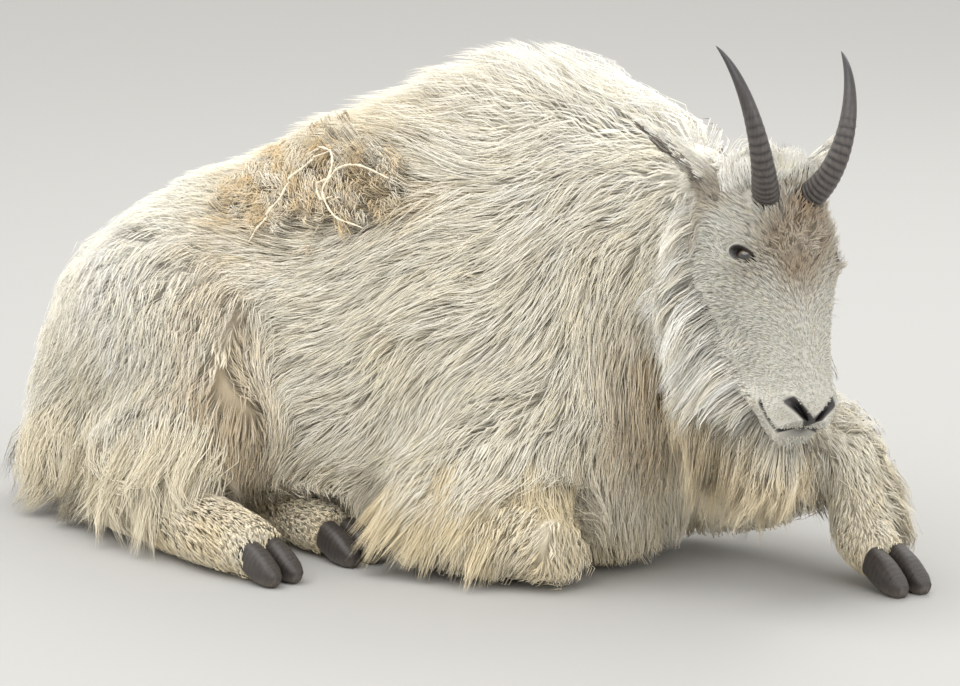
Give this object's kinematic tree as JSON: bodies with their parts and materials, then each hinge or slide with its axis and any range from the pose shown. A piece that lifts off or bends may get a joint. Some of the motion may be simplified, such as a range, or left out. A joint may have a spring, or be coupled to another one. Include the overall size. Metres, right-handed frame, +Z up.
{
  "type": "mountain goat",
  "caption": "Still, life-size mountain goat lying down with its head up, long shaggy coat, beard and slim curved horns.",
  "frame": {"origin": "middle of the flat under the chest, on the floor", "axes": "+X forward along the trunk, +Y to the animal's left, +Z up"},
  "size_m": [1.274, 0.6341, 0.6937],
  "materials": {
    "long_coat": "long cream-white hair, yellower at the fringes",
    "face_fur": "short white fur with a brown brow",
    "leg_fur": "short cream fur",
    "eye": "wet, dark amber",
    "horn": "satin, ringed, dark grey-brown",
    "hoof": "dull grey-brown horn"
  },
  "bodies": {
    "root": {"torso": "long_coat", "neck": "long_coat", "head": "face_fur", "tail": "long_coat", "upper_arm_right": "long_coat", "forearm_right": "long_coat", "forearm_left": "long_coat", "thigh_right": "long_coat", "shank_right": "long_coat", "thigh_left": "long_coat", "cannon_front_right": "leg_fur", "cannon_front_left": "leg_fur", "foot_hind_right": "leg_fur", "foot_hind_left": "leg_fur", "ear_right": "face_fur", "ear_left": "face_fur", "eye_right": "eye", "eye_left": "eye", "horn_right": "horn", "horn_left": "horn", "hoof_front_left_outer": "hoof", "hoof_front_left_inner": "hoof", "hoof_front_right_outer": "hoof", "hoof_front_right_inner": "hoof", "hoof_hind_right_outer": "hoof", "hoof_hind_right_inner": "hoof", "hoof_hind_left_outer": "hoof", "hoof_hind_left_inner": "hoof"}
  },
  "joints": []
}
